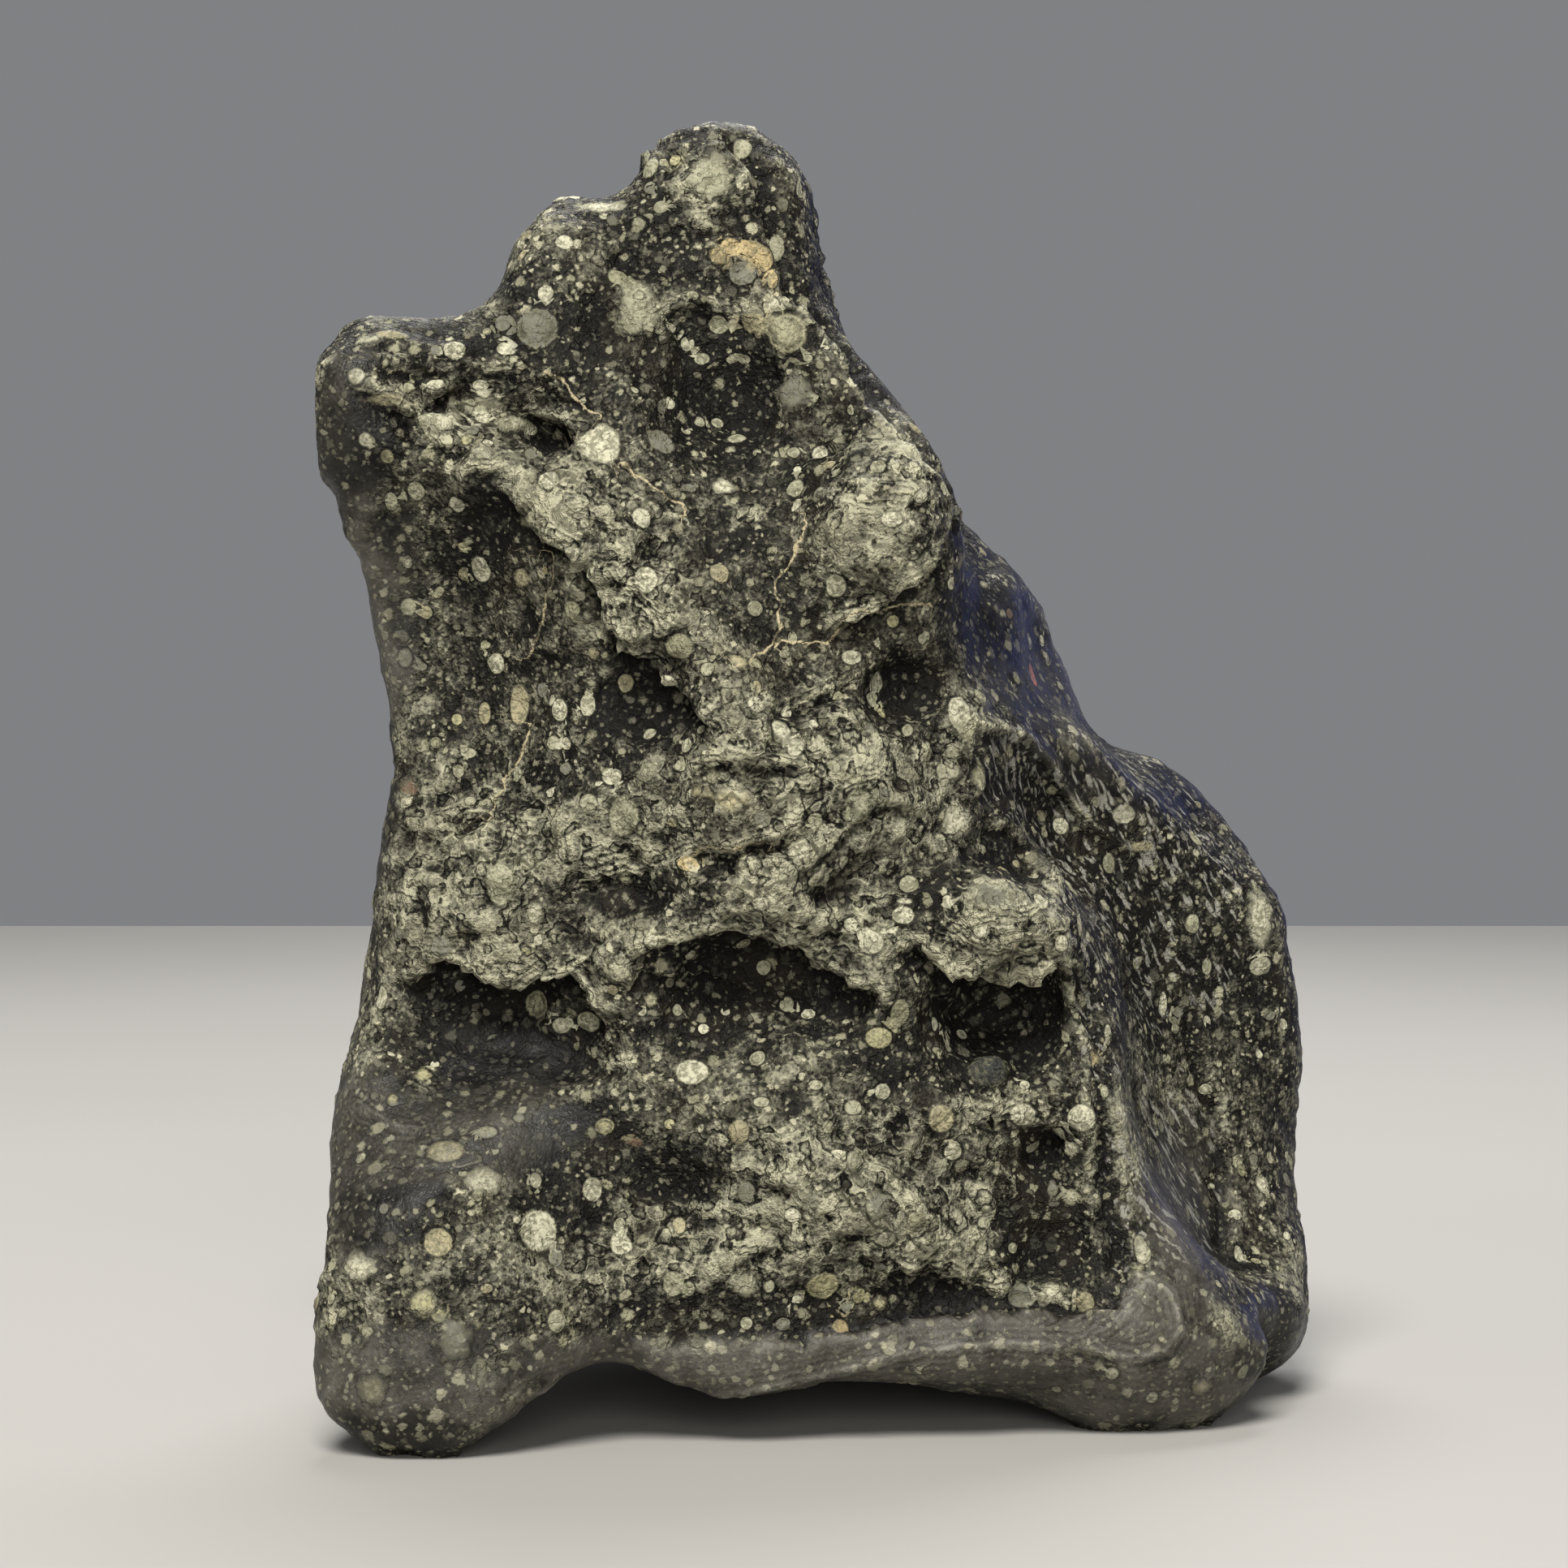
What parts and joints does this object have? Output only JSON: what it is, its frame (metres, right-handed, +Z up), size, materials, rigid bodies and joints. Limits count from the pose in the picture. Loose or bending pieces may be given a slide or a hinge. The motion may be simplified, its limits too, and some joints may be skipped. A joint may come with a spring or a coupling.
{
  "type": "chondrite meteorite",
  "caption": "Dark wind-polished chondrite meteorite that stands on its own feet, carved by thumbprint hollows and freckled with pale round chondrules.",
  "frame": {"origin": "on the ground, under the middle of the stone's bounding box", "axes": "+Z up to the horn, -Y out of the broad front face, +X towards the low right shoulder"},
  "size_m": [0.07, 0.0492, 0.0904],
  "materials": {
    "black_stone": "satin desert polish on charcoal fine-grained matrix, with cream, olive and tan chondrules"
  },
  "bodies": {
    "root": {"meteorite": "black_stone"}
  },
  "joints": []
}
